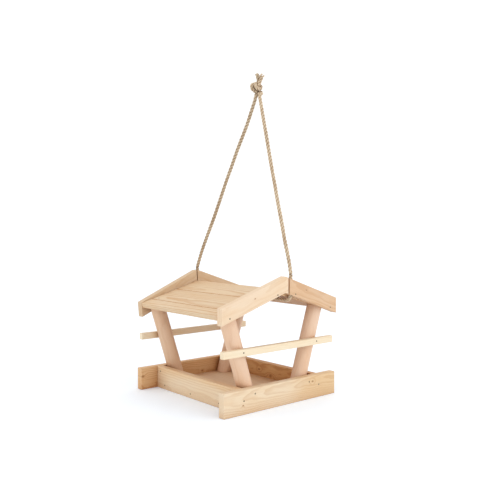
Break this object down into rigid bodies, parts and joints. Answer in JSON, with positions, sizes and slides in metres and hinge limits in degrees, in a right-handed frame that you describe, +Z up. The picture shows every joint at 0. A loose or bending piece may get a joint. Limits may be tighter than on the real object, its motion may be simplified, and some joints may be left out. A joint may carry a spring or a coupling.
{
  "type": "hanging bird feeder",
  "caption": "Open timber tray on leaning round posts under a low plank ridge roof, with perch strips at both gables, hung on a knotted jute rope loop.",
  "frame": {"origin": "middle of the tray's underside, on the surface the feeder stands on", "axes": "+X to the right across the gables, +Y from the front gable to the back gable, +Z up"},
  "size_m": [0.226, 0.218, 0.497],
  "materials": {
    "pine_boards": "bare planed pine, open grain",
    "pine_barges": "bare planed pine, pale",
    "floor_panel": "bare panel, matt",
    "dowel_posts": "bare turned dowel, smooth",
    "perch_strips": "bare sawn strip, pale",
    "roof_planks": "bare planed pine, fine grain",
    "jute_rope": "laid natural jute, fuzzy",
    "steel_nails": "dull wire nail heads"
  },
  "bodies": {
    "house": {"front_board": "pine_boards", "back_board": "pine_boards", "left_side_board": "pine_boards", "right_side_board": "pine_boards", "barge_front_left": "pine_barges", "barge_front_right": "pine_barges", "barge_back_left": "pine_barges", "barge_back_right": "pine_barges", "floor_panel": "floor_panel", "post_front_left": "dowel_posts", "post_front_right": "dowel_posts", "post_back_left": "dowel_posts", "post_back_right": "dowel_posts", "front_perch": "perch_strips", "back_perch": "perch_strips", "roof_left_ridge_plank": "roof_planks", "roof_left_middle_plank": "roof_planks", "roof_left_eave_plank": "roof_planks", "roof_right_ridge_plank": "roof_planks", "roof_right_middle_plank": "roof_planks", "roof_right_eave_plank": "roof_planks", "rope_under_ridge": "jute_rope", "corner_nails": "steel_nails", "floor_nails": "steel_nails", "foot_nails": "steel_nails", "perch_nails": "steel_nails", "barge_nails": "steel_nails", "roof_nails": "steel_nails"},
    "rope_loop": {"rope_front_strand": "jute_rope", "rope_back_strand": "jute_rope", "rope_knot": "jute_rope"}
  },
  "joints": [
    {"name": "rope_swing", "type": "hinge", "parent": "house", "child": "rope_loop", "pos_m": [0.019, -0.104, 0.19], "axis": [-0.0695, 0.9976, 0], "range_deg": [-90, 85]}
  ]
}
